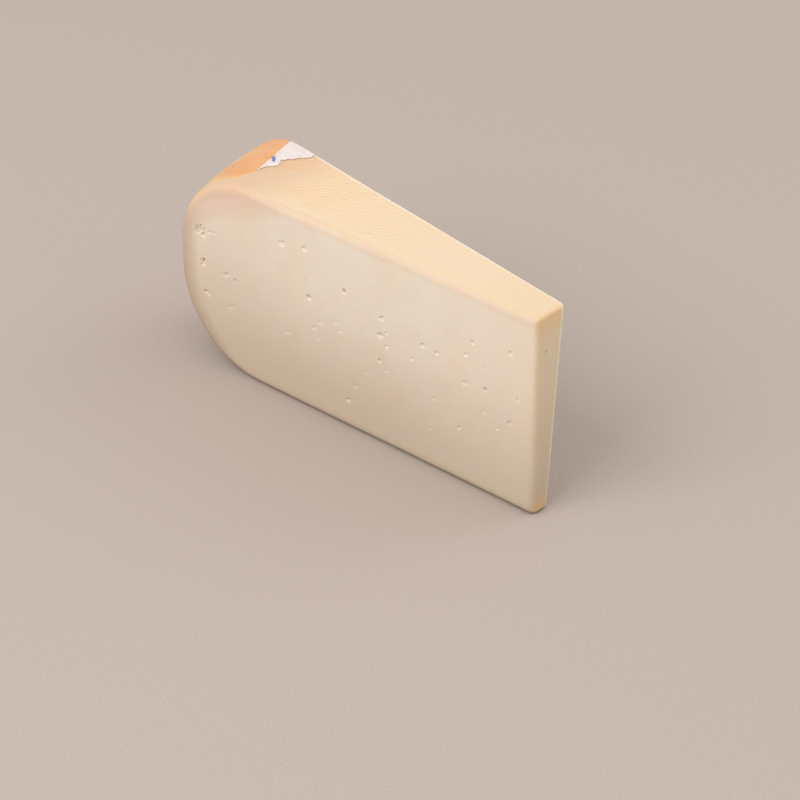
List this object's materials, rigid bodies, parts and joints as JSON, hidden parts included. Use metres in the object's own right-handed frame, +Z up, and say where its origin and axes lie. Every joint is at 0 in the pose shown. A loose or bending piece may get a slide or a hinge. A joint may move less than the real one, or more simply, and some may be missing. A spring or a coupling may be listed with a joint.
{
  "type": "goat gouda cheese slab",
  "caption": "Tapering slab of pale goat gouda cut from a wheel, with a bulged rind at one end and a scrap of paper label.",
  "frame": {"origin": "middle of the object's box, on the face it stands on", "axes": "+Z up, +X from the wheel's rim to the narrow end, +Y from the large front cut to the back cut"},
  "size_m": [0.2101, 0.0498, 0.0932],
  "materials": {
    "cheese": "matt, slightly waxy cream paste with a thin yellow rind that is orange over the rim",
    "label_paper": "matt torn white paper with a faint blue print"
  },
  "bodies": {
    "root": {"cheese": "cheese", "label_scrap": "label_paper"}
  },
  "joints": []
}
